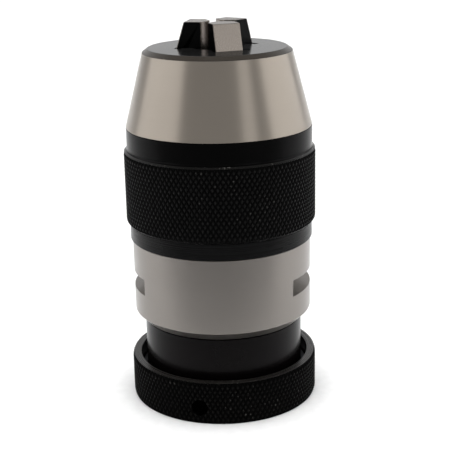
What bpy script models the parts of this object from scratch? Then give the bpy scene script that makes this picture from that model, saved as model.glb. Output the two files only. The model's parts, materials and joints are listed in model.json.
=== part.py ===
"""Precision keyless drill chuck with a captive threaded collar on its neck.

The chuck stands on its rear face. The origin is the middle of that face, +Z runs up the
axis to the jaws, and azimuths are counted from -Y towards +X. Every length is in metres.

How it works: turning the knurled sleeve turns the jaw guide, the jaws and the drive
spindle with it. The spindle's left-hand thread in the chuck body then moves it along the
axis, and its T-slots push the three jaws along the inclined slots of the jaw guide.
"""

from math import pi, radians, tan

import bmesh
import bpy
from mathutils import Matrix

MM = 0.001
GAP = 0.3 * MM

# Facets round a turned piece
OUTER_STEPS = 64
INNER_STEPS = 48
HOLE_STEPS = 24

# Chuck body
BODY_RADIUS = 24.03 * MM
BODY_BOTTOM = 22.4 * MM
BODY_TOP = 44.6 * MM
BODY_CHAMFER = 2.4 * MM
BODY_EDGE = 0.4 * MM
FLAT_DISTANCE = 19.6 * MM
FLAT_BOTTOM = 31.5 * MM
FLAT_TOP = 35.9 * MM
FLAT_AZIMUTH = 85.3

# Taper socket: Jacobs number 33, 0.624 in at the mouth to 0.5605 in over one inch
SOCKET_MOUTH_RADIUS = 7.925 * MM
SOCKET_END_RADIUS = 7.118 * MM
SOCKET_LENGTH = 25.4 * MM
SOCKET_RELIEF_RADIUS = 6.5 * MM
SOCKET_DEPTH = 27.5 * MM

# Boss round the socket, barrel round the spindle thread
BOSS_RADIUS = 15.0 * MM
BOSS_CHAMFER = 0.6 * MM
BARREL_RADIUS = 14.0 * MM
BARREL_TOP = 56.1 * MM
SPINDLE_BORE_RADIUS = 8.4 * MM
SPINDLE_BORE_BOTTOM = 30.0 * MM

# Rear sleeve pressed on the boss
REAR_SLEEVE_RADIUS = 21.46 * MM
REAR_SLEEVE_BOTTOM = 6.8 * MM

# Captive collar, its slip ring and its stop ring
COLLAR_RADIUS = 25.48 * MM
COLLAR_RIM_RADIUS = 25.16 * MM
COLLAR_HEIGHT = 11.5 * MM
COLLAR_BORE_RADIUS = 23.1 * MM
COLLAR_THREAD_RADIUS = 17.0 * MM
WEB_BOTTOM = 4.9 * MM
WEB_TOP = 6.4 * MM
WEB_BORE_RADIUS = 15.4 * MM
SPANNER_HOLE_RADIUS = 2.2 * MM
SPANNER_HOLE_DEPTH = 5.0 * MM
SPANNER_HOLE_HEIGHT = 4.4 * MM
SPANNER_HOLE_AZIMUTH = -15.5
STOP_GROOVE_RADIUS = 14.0 * MM
STOP_GROOVE_BOTTOM = 0.7 * MM
STOP_GROOVE_TOP = 1.9 * MM
STOP_RING_RADIUS = 16.3 * MM
STOP_RING_GAP = 3.0 * MM

# Thrust bearing between the flange on the barrel and the ring nut under the sleeve
FLANGE_RADIUS = 21.5 * MM
FLANGE_BOTTOM = 52.2 * MM
THRUST_SLEEVE_RADIUS = 16.0 * MM
THRUST_SLEEVE_BOTTOM = 47.2 * MM
RACE_INNER_RADIUS = 16.3 * MM
RACE_OUTER_RADIUS = 20.3 * MM
RACE_THICKNESS = 1.1 * MM
LOWER_RACE_BOTTOM = 46.7 * MM
BALL_COUNT = 16
BALL_RADIUS = 1.4 * MM
BALL_CIRCLE_RADIUS = 18.3 * MM
BALL_HEIGHT = 49.3 * MM
CAGE_HALF_WIDTH = 1.85 * MM
CAGE_THICKNESS = 1.2 * MM
POCKET_RADIUS = 1.5 * MM
LOCK_PIN_RADIUS = 1.2 * MM
LOCK_PIN_LENGTH = 6.0 * MM
LOCK_PIN_AZIMUTH = 150.0

# Sleeve: ring nut, knurled sleeve, conical jaw guide
RING_NUT_RADIUS = 24.55 * MM
RING_NUT_BOTTOM = 44.9 * MM
RING_NUT_TOP = 48.8 * MM
RING_NUT_SEAT = 46.4 * MM
RING_NUT_BORE_RADIUS = 14.5 * MM
SPIGOT_RADIUS = 22.4 * MM
RING_NUT_CUP_RADIUS = 20.6 * MM
RING_NUT_SPIGOT_TOP = 51.9 * MM
SLEEVE_BOTTOM = 49.1 * MM
SLEEVE_TOP = 74.95 * MM
SLEEVE_BORE_RADIUS = 22.7 * MM
SMOOTH_RADIUS = 24.61 * MM
KNURL_RADIUS = 25.5 * MM
KNURL_BOTTOM = 50.2 * MM
KNURL_TOP = 68.8 * MM
SHOULDER_TOP = 69.9 * MM
CONE_BOTTOM = 75.1 * MM
CONE_TOP = 94.4 * MM
CONE_TOP_RADIUS = 19.6 * MM
FACE_HEIGHT = 95.4 * MM
FACE_RADIUS = 18.2 * MM
GUIDE_BOTTOM = 67.5 * MM
GUIDE_CAVITY_RADIUS = 16.6 * MM
GUIDE_CAVITY_TOP = 82.9 * MM
GUIDE_BORE_RADIUS = 6.8 * MM

# Jaws
JAW_COUNT = 3
JAW_AZIMUTH = 18.0
JAW_ANGLE = radians(17.5)
JAW_WIDTH = 7.1 * MM
JAW_TOP = 102.0 * MM
JAW_BOTTOM = 78.3 * MM
JAW_BACK_AT_FACE = 10.0 * MM
JAW_BACK_EDGE = 0.3 * MM
LAND_RADIUS = 1.95 * MM
LAND_HALF_WIDTH = 0.7 * MM
BEVEL_ANGLE = radians(60)
WING_WIDTH = 10.9 * MM
WING_DEPTH = 1.3 * MM
WING_TOP = 90.5 * MM
FOOT_INNER_RADIUS = 5.0 * MM
FOOT_OUTER_RADIUS = 10.3 * MM
FOOT_BOTTOM = 73.3 * MM
FOOT_TOP = 75.3 * MM
FOOT_WIDTH = 6.4 * MM
NECK_WIDTH = 3.4 * MM
SLOT_CLEARANCE = 0.2 * MM

# Drive spindle
HEAD_RADIUS = 16.0 * MM
HEAD_BOTTOM = 71.0 * MM
HEAD_TOP = 78.0 * MM
HEAD_EDGE = 0.5 * MM
CHAMBER_BOTTOM = 73.0 * MM
CHAMBER_TOP = 75.6 * MM
SHANK_RADIUS = 8.0 * MM
SHANK_BOTTOM = 44.8 * MM

# Local X runs outward from the axis, local Y up and local Z sideways
RADIAL_PLANE = Matrix(((0, 0, -1, 0), (-1, 0, 0, 0), (0, 1, 0, 0), (0, 0, 0, 1)))


def clear_scene():
    for obj in list(bpy.data.objects):
        bpy.data.objects.remove(obj, do_unlink=True)


def new_collection(name):
    collection = bpy.data.collections.new(name)
    bpy.context.scene.collection.children.link(collection)
    return collection


def metal(name, colour, roughness, metallic=1.0):
    material = bpy.data.materials.new(name)
    material.use_nodes = True
    shader = material.node_tree.nodes["Principled BSDF"]
    shader.inputs["Base Color"].default_value = (*colour, 1.0)
    shader.inputs["Roughness"].default_value = roughness
    shader.inputs["Metallic"].default_value = metallic
    return material


def azimuth_turn(degrees):
    return Matrix.Rotation(radians(degrees), 4, "Z")


def link(obj, collection, material=None):
    collection.objects.link(obj)
    if material:
        obj.data.materials.append(material)
    if collection is CUTTERS:
        obj.hide_render = True
        obj.display_type = "WIRE"
    return obj


def turned(name, profile, collection, material=None, steps=OUTER_STEPS, closed=False):
    """Turn (radius, height) points about Z, listed down the outer side first."""
    edges = [(i, i + 1) for i in range(len(profile) - 1)]
    if closed:
        edges.append((len(profile) - 1, 0))
    mesh = bpy.data.meshes.new(name)
    mesh.from_pydata([(radius, 0.0, height) for radius, height in profile], edges, [])
    obj = link(bpy.data.objects.new(name, mesh), collection, material)
    screw = obj.modifiers.new("Turn", "SCREW")
    screw.axis = "Z"
    screw.steps = screw.render_steps = steps
    screw.use_merge_vertices = True
    screw.merge_threshold = 0.00001
    return obj


def turned_ring(name, inner, outer, bottom, top, material, steps=INNER_STEPS):
    profile = [(outer, top), (outer, bottom), (inner, bottom), (inner, top)]
    return turned(name, profile, PARTS, material, steps, closed=True)


def plate(name, outline, width, collection, place):
    """Extrude a flat outline, given as (outward, up) points, to both sides of its plane."""
    curve = bpy.data.curves.new(name, "CURVE")
    curve.dimensions = "2D"
    curve.fill_mode = "BOTH"
    curve.extrude = width / 2
    spline = curve.splines.new("POLY")
    spline.points.add(len(outline) - 1)
    for point, (outward, up) in zip(spline.points, outline):
        point.co = (outward, up, 0.0, 1.0)
    spline.use_cyclic_u = True
    guide = bpy.data.objects.new(name, curve)
    collection.objects.link(guide)
    guide.matrix_world = place @ RADIAL_PLANE
    return mesh_from_curve(guide, collection)


def mesh_from_curve(guide, collection):
    name = guide.name
    bpy.context.view_layer.update()
    evaluated = guide.evaluated_get(bpy.context.evaluated_depsgraph_get())
    mesh = bpy.data.meshes.new_from_object(evaluated)
    welded = bmesh.new()
    welded.from_mesh(mesh)
    bmesh.ops.remove_doubles(welded, verts=welded.verts, dist=0.000001)
    bmesh.ops.recalc_face_normals(welded, faces=welded.faces)
    welded.to_mesh(mesh)
    welded.free()
    place = guide.matrix_world.copy()
    bpy.data.objects.remove(guide, do_unlink=True)
    obj = link(bpy.data.objects.new(name, mesh), collection)
    obj.matrix_world = place
    return obj


def block(name, size, place):
    mesh = bpy.data.meshes.new(name)
    shape = bmesh.new()
    bmesh.ops.create_cube(shape, size=1.0)
    bmesh.ops.scale(shape, vec=size, verts=shape.verts)
    shape.to_mesh(mesh)
    shape.free()
    obj = link(bpy.data.objects.new(name, mesh), CUTTERS)
    obj.matrix_world = place
    return obj


def rod(name, radius, length, place, collection, material=None, steps=HOLE_STEPS):
    mesh = bpy.data.meshes.new(name)
    shape = bmesh.new()
    bmesh.ops.create_cone(shape, cap_ends=True, segments=steps, radius1=radius,
                          radius2=radius, depth=length)
    shape.to_mesh(mesh)
    shape.free()
    obj = link(bpy.data.objects.new(name, mesh), collection, material)
    obj.matrix_world = place
    return obj


def combine(obj, tools, operation="DIFFERENCE"):
    for tool in tools:
        boolean = obj.modifiers.new(tool.name, "BOOLEAN")
        boolean.operation = operation
        boolean.solver = "EXACT"
        boolean.object = tool


def settle(obj):
    """Apply an object's modifiers and shade it smooth between its sharp edges."""
    bpy.context.view_layer.update()
    evaluated = obj.evaluated_get(bpy.context.evaluated_depsgraph_get())
    obj.data = bpy.data.meshes.new_from_object(evaluated)
    obj.modifiers.clear()
    obj.data.name = obj.name
    obj.data.shade_smooth()
    obj.data.set_sharp_from_angle(angle=radians(35))


def jaw_back(height, outward=0.0):
    """Point of a jaw's sloping back at one height, moved outward by a clearance."""
    slope = (FACE_HEIGHT - height) * tan(JAW_ANGLE)
    return (JAW_BACK_AT_FACE + slope + outward, height)


def jaw_azimuths():
    return [JAW_AZIMUTH + number * 360.0 / JAW_COUNT for number in range(JAW_COUNT)]


def make_lock_pin():
    middle = BARREL_TOP - LOCK_PIN_LENGTH / 2
    place = azimuth_turn(LOCK_PIN_AZIMUTH)
    place = place @ Matrix.Translation((0.0, -BARREL_RADIUS, middle))
    rod("thrust_collar_pin", LOCK_PIN_RADIUS, LOCK_PIN_LENGTH - GAP, place, PARTS, HARD_STEEL)
    hole_place = Matrix.Translation((0.0, 0.0, GAP)) @ place
    return rod("lock_pin_hole", LOCK_PIN_RADIUS + GAP, LOCK_PIN_LENGTH + GAP,
               hole_place, CUTTERS)


def make_chuck_body(pin_hole):
    chamfer_radius = BODY_RADIUS - BODY_CHAMFER
    profile = [
        (0.0, SPINDLE_BORE_BOTTOM),
        (SPINDLE_BORE_RADIUS, SPINDLE_BORE_BOTTOM),
        (SPINDLE_BORE_RADIUS, BARREL_TOP),
        (BARREL_RADIUS, BARREL_TOP),
        (BARREL_RADIUS, BODY_TOP),
        (BODY_RADIUS - BODY_EDGE, BODY_TOP),
        (BODY_RADIUS, BODY_TOP - BODY_EDGE),
        (BODY_RADIUS, BODY_BOTTOM + BODY_CHAMFER),
        (chamfer_radius, BODY_BOTTOM),
        (BOSS_RADIUS, BODY_BOTTOM),
        (BOSS_RADIUS, STOP_GROOVE_TOP),
        (STOP_GROOVE_RADIUS, STOP_GROOVE_TOP),
        (STOP_GROOVE_RADIUS, STOP_GROOVE_BOTTOM),
        (BOSS_RADIUS - BOSS_CHAMFER / 2, STOP_GROOVE_BOTTOM),
        (BOSS_RADIUS - BOSS_CHAMFER, 0.0),
        (SOCKET_MOUTH_RADIUS, 0.0),
        (SOCKET_END_RADIUS, SOCKET_LENGTH),
        (SOCKET_RELIEF_RADIUS, SOCKET_DEPTH),
        (0.0, SOCKET_DEPTH),
    ]
    body = turned("chuck_body", profile, PARTS, BRIGHT_STEEL)
    combine(body, [wrench_flat(side) for side in (0, 1)] + [pin_hole])
    settle(body)


def wrench_flat(side):
    depth = 2 * (BODY_RADIUS - FLAT_DISTANCE)
    height = FLAT_TOP - FLAT_BOTTOM
    middle = (0.0, -FLAT_DISTANCE - depth / 2, (FLAT_TOP + FLAT_BOTTOM) / 2)
    place = azimuth_turn(FLAT_AZIMUTH + 180.0 * side) @ Matrix.Translation(middle)
    return block("wrench_flat_cut_%d" % (side + 1), (2.5 * BODY_RADIUS, depth, height), place)


def make_rear_sleeve():
    turned_ring("rear_sleeve", BOSS_RADIUS + GAP, REAR_SLEEVE_RADIUS,
                REAR_SLEEVE_BOTTOM, BODY_BOTTOM - GAP, BLACK_STEEL, OUTER_STEPS)


def make_stop_ring():
    ring = turned_ring("collar_stop_ring", BOSS_RADIUS - 2 * GAP, STOP_RING_RADIUS,
                       STOP_GROOVE_BOTTOM + 0.7 * GAP, STOP_GROOVE_TOP - 0.7 * GAP,
                       SPRING_STEEL)
    place = azimuth_turn(180.0) @ Matrix.Translation((0.0, -STOP_RING_RADIUS, STOP_GROOVE_TOP))
    split = block("stop_ring_split", (STOP_RING_GAP, 8 * MM, 8 * MM), place)
    combine(ring, [split])
    settle(ring)


def make_collar():
    edge = COLLAR_RADIUS - COLLAR_RIM_RADIUS
    profile = [
        (COLLAR_RIM_RADIUS, COLLAR_HEIGHT),
        (COLLAR_RADIUS, COLLAR_HEIGHT - 1.5 * edge),
        (COLLAR_RADIUS, edge),
        (COLLAR_RIM_RADIUS, 0.0),
        (COLLAR_THREAD_RADIUS + edge, 0.0),
        (COLLAR_THREAD_RADIUS, edge),
        (COLLAR_THREAD_RADIUS, WEB_BOTTOM),
        (WEB_BORE_RADIUS, WEB_BOTTOM),
        (WEB_BORE_RADIUS, WEB_TOP),
        (COLLAR_BORE_RADIUS, WEB_TOP),
        (COLLAR_BORE_RADIUS, COLLAR_HEIGHT),
    ]
    collar = turned("locking_collar", profile, PARTS, BLACK_STEEL, closed=True)
    combine(collar, [spanner_hole(side) for side in (0, 1)])
    settle(collar)


def spanner_hole(side):
    start = COLLAR_RADIUS - SPANNER_HOLE_DEPTH
    middle = (0.0, -start - SPANNER_HOLE_DEPTH, SPANNER_HOLE_HEIGHT)
    place = azimuth_turn(SPANNER_HOLE_AZIMUTH + 180.0 * side) @ Matrix.Translation(middle)
    place = place @ Matrix.Rotation(pi / 2, 4, "X")
    return rod("spanner_hole_%d" % (side + 1), SPANNER_HOLE_RADIUS, 2 * SPANNER_HOLE_DEPTH,
               place, CUTTERS)


def make_slip_ring():
    turned_ring("collar_slip_ring", REAR_SLEEVE_RADIUS + GAP, COLLAR_BORE_RADIUS - GAP,
                WEB_TOP + GAP, WEB_TOP + 4 * GAP, SPRING_STEEL, OUTER_STEPS)


def make_thrust_collar(pin_hole):
    bore = BARREL_RADIUS + GAP
    profile = [
        (FLANGE_RADIUS, BARREL_TOP),
        (FLANGE_RADIUS, FLANGE_BOTTOM),
        (THRUST_SLEEVE_RADIUS, FLANGE_BOTTOM),
        (THRUST_SLEEVE_RADIUS, THRUST_SLEEVE_BOTTOM),
        (bore, THRUST_SLEEVE_BOTTOM),
        (bore, BARREL_TOP),
    ]
    collar = turned("thrust_collar", profile, PARTS, HARD_STEEL, INNER_STEPS, closed=True)
    combine(collar, [pin_hole])
    settle(collar)


def make_bearing():
    upper_bottom = FLANGE_BOTTOM - GAP - RACE_THICKNESS
    for name, bottom in (("lower_race", LOWER_RACE_BOTTOM), ("upper_race", upper_bottom)):
        turned_ring(name, RACE_INNER_RADIUS, RACE_OUTER_RADIUS, bottom,
                    bottom + RACE_THICKNESS, HARD_STEEL)
    places = [ball_place(number) for number in range(BALL_COUNT)]
    cage = turned_ring("ball_cage", BALL_CIRCLE_RADIUS - CAGE_HALF_WIDTH,
                       BALL_CIRCLE_RADIUS + CAGE_HALF_WIDTH, BALL_HEIGHT - CAGE_THICKNESS / 2,
                       BALL_HEIGHT + CAGE_THICKNESS / 2, BRASS)
    pockets = [rod("pocket_%02d" % (number + 1), POCKET_RADIUS, 4 * CAGE_THICKNESS, place,
                   CUTTERS, steps=16) for number, place in enumerate(places)]
    combine(cage, pockets)
    settle(cage)
    mesh = ball_mesh()
    for number, place in enumerate(places):
        ball = bpy.data.objects.new("bearing_ball_%02d" % (number + 1), mesh)
        PARTS.objects.link(ball)
        ball.matrix_world = place


def ball_place(number):
    turn = azimuth_turn(number * 360.0 / BALL_COUNT)
    return turn @ Matrix.Translation((0.0, -BALL_CIRCLE_RADIUS, BALL_HEIGHT))


def ball_mesh():
    mesh = bpy.data.meshes.new("bearing_ball")
    shape = bmesh.new()
    bmesh.ops.create_uvsphere(shape, u_segments=12, v_segments=8, radius=BALL_RADIUS)
    shape.to_mesh(mesh)
    shape.free()
    mesh.materials.append(HARD_STEEL)
    mesh.shade_smooth()
    return mesh


def make_ring_nut():
    edge = GAP
    profile = [
        (SPIGOT_RADIUS, RING_NUT_SPIGOT_TOP),
        (SPIGOT_RADIUS, RING_NUT_TOP),
        (RING_NUT_RADIUS, RING_NUT_TOP),
        (RING_NUT_RADIUS, RING_NUT_BOTTOM + edge),
        (RING_NUT_RADIUS - edge, RING_NUT_BOTTOM),
        (RING_NUT_BORE_RADIUS, RING_NUT_BOTTOM),
        (RING_NUT_BORE_RADIUS, RING_NUT_SEAT),
        (RING_NUT_CUP_RADIUS, RING_NUT_SEAT),
        (RING_NUT_CUP_RADIUS, RING_NUT_SPIGOT_TOP),
    ]
    settle(turned("sleeve_ring_nut", profile, PARTS, BLACK_STEEL, closed=True))


def make_knurled_sleeve():
    profile = [
        (SMOOTH_RADIUS, SLEEVE_TOP),
        (SMOOTH_RADIUS, SHOULDER_TOP),
        (KNURL_RADIUS, KNURL_TOP),
        (KNURL_RADIUS, KNURL_BOTTOM),
        (SMOOTH_RADIUS, SLEEVE_BOTTOM),
        (SLEEVE_BORE_RADIUS, SLEEVE_BOTTOM),
        (SLEEVE_BORE_RADIUS, SLEEVE_TOP),
    ]
    settle(turned("knurled_sleeve", profile, PARTS, BLACK_STEEL, closed=True))


def make_jaw_guide():
    profile = [
        (FACE_RADIUS, FACE_HEIGHT),
        (CONE_TOP_RADIUS, CONE_TOP),
        (SMOOTH_RADIUS, CONE_BOTTOM + GAP / 2),
        (SPIGOT_RADIUS, CONE_BOTTOM + GAP / 2),
        (SPIGOT_RADIUS, GUIDE_BOTTOM),
        (GUIDE_CAVITY_RADIUS, GUIDE_BOTTOM),
        (GUIDE_CAVITY_RADIUS, GUIDE_CAVITY_TOP),
        (GUIDE_BORE_RADIUS, GUIDE_CAVITY_TOP),
        (GUIDE_BORE_RADIUS, FACE_HEIGHT),
    ]
    guide = turned("jaw_guide", profile, PARTS, BRIGHT_STEEL, closed=True)
    for number, azimuth in enumerate(jaw_azimuths()):
        combine(guide, guide_slots(number + 1, azimuth_turn(azimuth)))
    settle(guide)


def guide_slots(number, place):
    """The slot for one jaw, and the wider groove behind it for the jaw's wings."""
    low = GUIDE_BOTTOM - 5 * MM
    high = FACE_HEIGHT + 5 * MM
    slot = [(0.0, low), jaw_back(low, SLOT_CLEARANCE), jaw_back(high, SLOT_CLEARANCE),
            (0.0, high)]
    inward = -WING_DEPTH - SLOT_CLEARANCE
    groove = [jaw_back(low, inward), jaw_back(low, SLOT_CLEARANCE),
              jaw_back(high, SLOT_CLEARANCE), jaw_back(high, inward)]
    return [
        plate("jaw_slot_%d" % number, slot, JAW_WIDTH + 2 * SLOT_CLEARANCE, CUTTERS, place),
        plate("wing_groove_%d" % number, groove, WING_WIDTH + 2 * SLOT_CLEARANCE, CUTTERS,
              place),
    ]


def make_spindle():
    profile = [
        (0.0, HEAD_TOP),
        (HEAD_RADIUS - HEAD_EDGE, HEAD_TOP),
        (HEAD_RADIUS, HEAD_TOP - HEAD_EDGE),
        (HEAD_RADIUS, HEAD_BOTTOM),
        (SHANK_RADIUS, HEAD_BOTTOM),
        (SHANK_RADIUS, SHANK_BOTTOM + HEAD_EDGE),
        (SHANK_RADIUS - HEAD_EDGE, SHANK_BOTTOM),
        (0.0, SHANK_BOTTOM),
    ]
    spindle = turned("drive_spindle", profile, PARTS, HARD_STEEL, INNER_STEPS)
    for number, azimuth in enumerate(jaw_azimuths()):
        combine(spindle, spindle_slots(number + 1, azimuth_turn(azimuth)))
    settle(spindle)


def spindle_slots(number, place):
    """The T-slot for one jaw's foot: a chamber and the narrower neck above it."""
    reach = HEAD_RADIUS + 4 * MM
    high = HEAD_TOP + 4 * MM
    chamber = [(0.0, CHAMBER_BOTTOM), (reach, CHAMBER_BOTTOM), (reach, CHAMBER_TOP),
               (0.0, CHAMBER_TOP)]
    neck = [(0.0, FOOT_TOP), (reach, FOOT_TOP), (reach, high), (0.0, high)]
    return [
        plate("foot_chamber_%d" % number, chamber, FOOT_WIDTH + 2 * GAP, CUTTERS, place),
        plate("neck_slot_%d" % number, neck, NECK_WIDTH + 2 * GAP, CUTTERS, place),
    ]


def make_jaws():
    first = make_jaw()
    for number, azimuth in enumerate(jaw_azimuths()):
        jaw = first if number == 0 else bpy.data.objects.new("jaw", first.data)
        if number:
            PARTS.objects.link(jaw)
        jaw.name = "jaw_%d" % (number + 1)
        jaw.matrix_world = azimuth_turn(azimuth)


def make_jaw():
    """One jaw pointing to azimuth 0, made as blade, wings, neck and foot."""
    upright = Matrix.Identity(4)
    edge = JAW_BACK_EDGE
    back_top = jaw_back(JAW_TOP)
    blade = [(LAND_RADIUS, JAW_BOTTOM), jaw_back(JAW_BOTTOM), jaw_back(JAW_TOP - edge),
             (back_top[0] - edge, JAW_TOP), (LAND_RADIUS, JAW_TOP)]
    wings = [jaw_back(JAW_BOTTOM, -WING_DEPTH), jaw_back(JAW_BOTTOM),
             jaw_back(WING_TOP), jaw_back(WING_TOP, -WING_DEPTH)]
    shapes = [plate("jaw_blade", blade, JAW_WIDTH, PARTS, upright),
              plate("jaw_wings", wings, WING_WIDTH, CUTTERS, upright)]
    sinks = (("jaw_neck", NECK_WIDTH, FOOT_TOP - edge, JAW_BOTTOM + edge),
             ("jaw_foot", FOOT_WIDTH, FOOT_BOTTOM, FOOT_TOP))
    for name, width, low, high in sinks:
        outline = [(FOOT_INNER_RADIUS, low), (FOOT_OUTER_RADIUS, low),
                   (FOOT_OUTER_RADIUS, high), (FOOT_INNER_RADIUS, high)]
        shapes.append(plate(name, outline, width, CUTTERS, upright))
    jaw = shapes[0]
    combine(jaw, [bevel_cutter(side) for side in (-1, 1)])
    combine(jaw, shapes[1:], "UNION")
    settle(jaw)
    jaw.data.transform(jaw.matrix_world)
    jaw.data.materials.clear()
    jaw.data.materials.append(JAW_STEEL)
    return jaw


def bevel_cutter(side):
    """Block whose face is one flank of the jaw's V, from its gripping land outward."""
    size = 30 * MM
    height = JAW_TOP - JAW_BOTTOM
    land_edge = Matrix.Translation((side * LAND_HALF_WIDTH, -LAND_RADIUS, JAW_BOTTOM))
    turn = Matrix.Rotation(side * (pi / 2 - BEVEL_ANGLE), 4, "Z")
    middle = Matrix.Translation((0.0, size / 2, height / 2))
    place = land_edge @ turn.inverted() @ middle
    return block("bevel_cut_%s" % ("left" if side < 0 else "right"),
                 (2 * size, size, 2 * height), place)


clear_scene()
PARTS = new_collection("drill_chuck")
CUTTERS = new_collection("cutters")
BRIGHT_STEEL = metal("bright_steel", (0.60, 0.57, 0.54), 0.32)
BLACK_STEEL = metal("black_steel", (0.025, 0.024, 0.026), 0.35, 0.6)
JAW_STEEL = metal("jaw_steel", (0.62, 0.59, 0.55), 0.25)
HARD_STEEL = metal("hard_steel", (0.70, 0.70, 0.70), 0.15)
SPRING_STEEL = metal("spring_steel", (0.16, 0.16, 0.17), 0.40)
BRASS = metal("brass", (0.75, 0.56, 0.25), 0.30)

lock_pin_hole = make_lock_pin()
make_chuck_body(lock_pin_hole)
make_rear_sleeve()
make_stop_ring()
make_slip_ring()
make_collar()
make_thrust_collar(lock_pin_hole)
make_bearing()
make_ring_nut()
make_knurled_sleeve()
make_jaw_guide()
make_spindle()
make_jaws()
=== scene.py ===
"""Looks of the precision keyless drill chuck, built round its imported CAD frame.

Every length is in metres, in the frame of the CAD: the origin is the middle of the rear
face, +Z runs up the axis to the jaws, and azimuths are counted from -Y towards +X.

Each piece is turned, cut, knurled or threaded here with finer facets than its CAD node, and
stands for that node on the same body. The pieces inside the chuck are made the same way.
"""

import json
from math import atan2, cos, hypot, pi, radians, sin, tan

import bmesh
import bpy
from mathutils import Matrix, Vector


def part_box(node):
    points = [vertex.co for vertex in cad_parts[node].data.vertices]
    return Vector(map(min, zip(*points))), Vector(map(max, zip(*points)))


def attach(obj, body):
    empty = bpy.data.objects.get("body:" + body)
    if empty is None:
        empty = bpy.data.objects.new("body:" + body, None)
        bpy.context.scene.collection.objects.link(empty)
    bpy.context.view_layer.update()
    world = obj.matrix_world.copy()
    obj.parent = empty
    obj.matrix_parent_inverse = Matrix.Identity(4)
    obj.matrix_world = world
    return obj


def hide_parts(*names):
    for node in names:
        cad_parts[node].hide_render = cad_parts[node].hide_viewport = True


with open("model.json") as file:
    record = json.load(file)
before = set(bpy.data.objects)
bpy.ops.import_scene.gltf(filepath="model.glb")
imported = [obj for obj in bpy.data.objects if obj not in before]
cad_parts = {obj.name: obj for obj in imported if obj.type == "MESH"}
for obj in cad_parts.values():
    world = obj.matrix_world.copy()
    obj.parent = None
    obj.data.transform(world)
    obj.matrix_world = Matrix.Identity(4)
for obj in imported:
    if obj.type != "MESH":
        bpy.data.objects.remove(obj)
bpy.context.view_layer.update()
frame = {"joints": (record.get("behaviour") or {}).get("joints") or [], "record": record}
BODY_OF = {node: body for body, nodes in frame["record"]["behaviour"]["bodies"].items()
           for node in nodes}

MM = 0.001

# Facets round the axis
KNURL_TEETH = 120
STEPS = 2 * KNURL_TEETH
INNER_STEPS = 96
ROD_STEPS = 64

# Edges: their rounds, and the angles that count as an edge
EDGE = 0.15 * MM
FINE_EDGE = 0.1 * MM
CAGE_EDGE = 0.06 * MM
ARC_POINTS = 4
BEVEL_SEGMENTS = 2
EDGE_ANGLE = radians(50)
SHARP_ANGLE = radians(35)

# Room between pieces, and how far a cutter reaches past what it cuts
GAP = 0.3 * MM
CUT_MARGIN = 5 * MM

# Points nearer than this to each other, or to the axis, are one point
WELD = 0.5e-6
ON_AXIS = 1e-7


def size_of(node):
    """Outer radius, lowest and highest height of a turned CAD node."""
    low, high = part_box(node)
    return (high.x - low.x) / 2, low.z, high.z


# Sizes of the turned pieces, read from the frame
KNURL_RADIUS, SLEEVE_BOTTOM, SLEEVE_TOP = size_of("knurled_sleeve")
COLLAR_RADIUS, COLLAR_BOTTOM, COLLAR_TOP = size_of("locking_collar")
BODY_RADIUS, BODY_FOOT, BARREL_TOP = size_of("chuck_body")
REAR_SLEEVE_RADIUS, REAR_SLEEVE_BOTTOM, REAR_SLEEVE_TOP = size_of("rear_sleeve")
RING_NUT_RADIUS, RING_NUT_BOTTOM, RING_NUT_SPIGOT_TOP = size_of("sleeve_ring_nut")
SMOOTH_RADIUS, GUIDE_BOTTOM, FACE_HEIGHT = size_of("jaw_guide")
JAW_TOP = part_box("jaw_1")[1].z
JAW_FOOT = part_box("jaw_1")[0].z

# Chuck body
BODY_BOTTOM = REAR_SLEEVE_TOP + GAP
BODY_TOP = RING_NUT_BOTTOM - GAP
BODY_CHAMFER = 2.4 * MM
FLAT_DISTANCE = 19.6 * MM
FLAT_BOTTOM = 31.5 * MM
FLAT_TOP = 35.9 * MM
FLAT_AZIMUTH = 85.3
BOSS_RADIUS = 15.0 * MM
BOSS_CHAMFER = 0.6 * MM
BARREL_RADIUS = 14.0 * MM
SOCKET_MOUTH_RADIUS = 7.925 * MM
SOCKET_END_RADIUS = 7.118 * MM
SOCKET_LENGTH = 25.4 * MM
SOCKET_RELIEF_RADIUS = 6.5 * MM
SOCKET_DEPTH = 27.5 * MM
SPINDLE_BORE_RADIUS = 8.4 * MM
SPINDLE_BORE_BOTTOM = 30.0 * MM
STOP_GROOVE_RADIUS = 14.0 * MM
STOP_GROOVE_BOTTOM = 0.7 * MM
STOP_GROOVE_TOP = 1.9 * MM

# Sleeve: above the knurl come a chamfered rim and a small fillet to the smooth band, and the
# ring nut and the cone meet the sleeve with fine joint lines
SHOULDER_HEIGHT = 1.1 * MM
KNURL_BOTTOM = SLEEVE_BOTTOM + SHOULDER_HEIGHT
KNURL_TOP = 68.8 * MM
RIM_STEP = 0.30 * MM
FILLET_STEP = 0.05 * MM
SLEEVE_BORE_RADIUS = 22.7 * MM
SPIGOT_RADIUS = 22.4 * MM
RING_NUT_TOP = SLEEVE_BOTTOM - 0.02 * MM
RING_NUT_SEAT = 46.4 * MM
RING_NUT_CUP_RADIUS = 20.6 * MM
RING_NUT_BORE_RADIUS = 14.5 * MM
CONE_BOTTOM = SLEEVE_TOP + 0.05 * MM
CONE_TOP = 94.4 * MM
CONE_TOP_RADIUS = 19.6 * MM
FACE_RADIUS = 18.2 * MM
GUIDE_CAVITY_RADIUS = 16.6 * MM
GUIDE_CAVITY_TOP = 82.9 * MM
GUIDE_BORE_RADIUS = 6.8 * MM

# Knurl: the depth of its teeth, the height of a row, the share of a tooth that its crowned
# top takes, and the height of that crown
KNURL_DEPTH = 0.44 * MM
KNURL_ROW = 1.085 * MM
TOOTH_TOP = 0.36
TOOTH_CROWN = 0.06 * MM

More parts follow.
